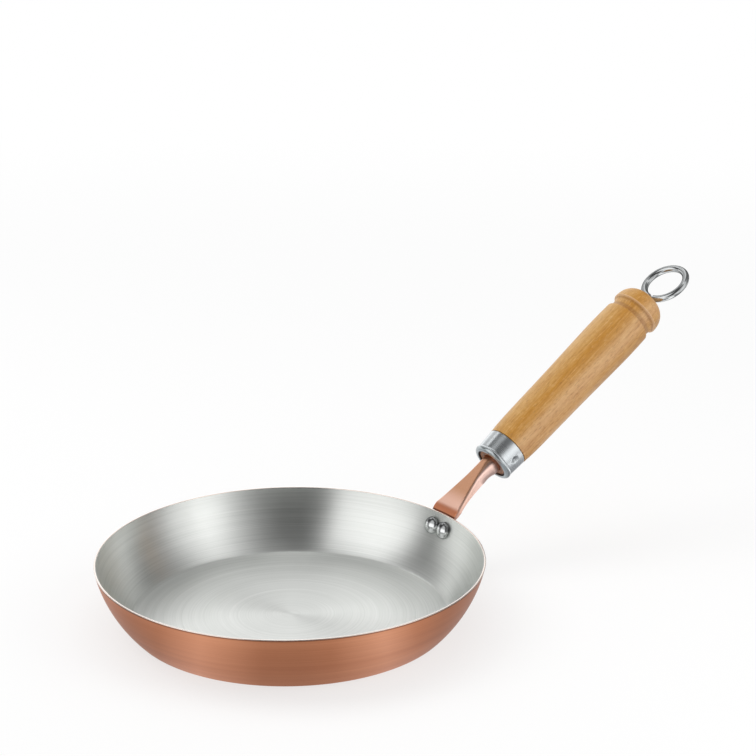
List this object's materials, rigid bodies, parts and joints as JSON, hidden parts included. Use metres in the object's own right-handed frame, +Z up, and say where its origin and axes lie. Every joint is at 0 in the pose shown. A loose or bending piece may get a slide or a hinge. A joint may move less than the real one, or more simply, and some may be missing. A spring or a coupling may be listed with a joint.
{
  "type": "pancake pan",
  "caption": "Shallow round copper pan with a steel lining, a riveted folded bracket, a turned wooden grip in a steel ferrule, and a hanging eye on the grip's end.",
  "frame": {"origin": "centre of the base's underside, on the table", "axes": "+Z up along the pan's axis, +X from the pan's axis towards the handle"},
  "size_m": [0.3766, 0.203, 0.1455],
  "materials": {
    "copper": "copper, brushed around the wall, satin",
    "steel_lining": "steel, brushed in circles",
    "copper_plating": "copper plated, satin",
    "polished_steel": "polished",
    "satin_steel": "satin",
    "wood": "turned beech, light oil",
    "zinc_steel": "zinc plated"
  },
  "bodies": {
    "pan": {"pan_shell": "copper", "pan_lining": "steel_lining", "handle_bracket": "copper_plating", "rivet_left": "polished_steel", "rivet_right": "polished_steel", "ferrule": "satin_steel", "wooden_grip": "wood", "tang_nut": "zinc_steel"},
    "hanging_eye": {"eye_bolt": "polished_steel"}
  },
  "joints": [
    {"name": "eye_bolt_turn", "type": "hinge", "parent": "pan", "child": "hanging_eye", "pos_m": [0.1015, 0, 0.0325], "axis": [0.8396, 0, 0.5432], "continuous": true}
  ]
}
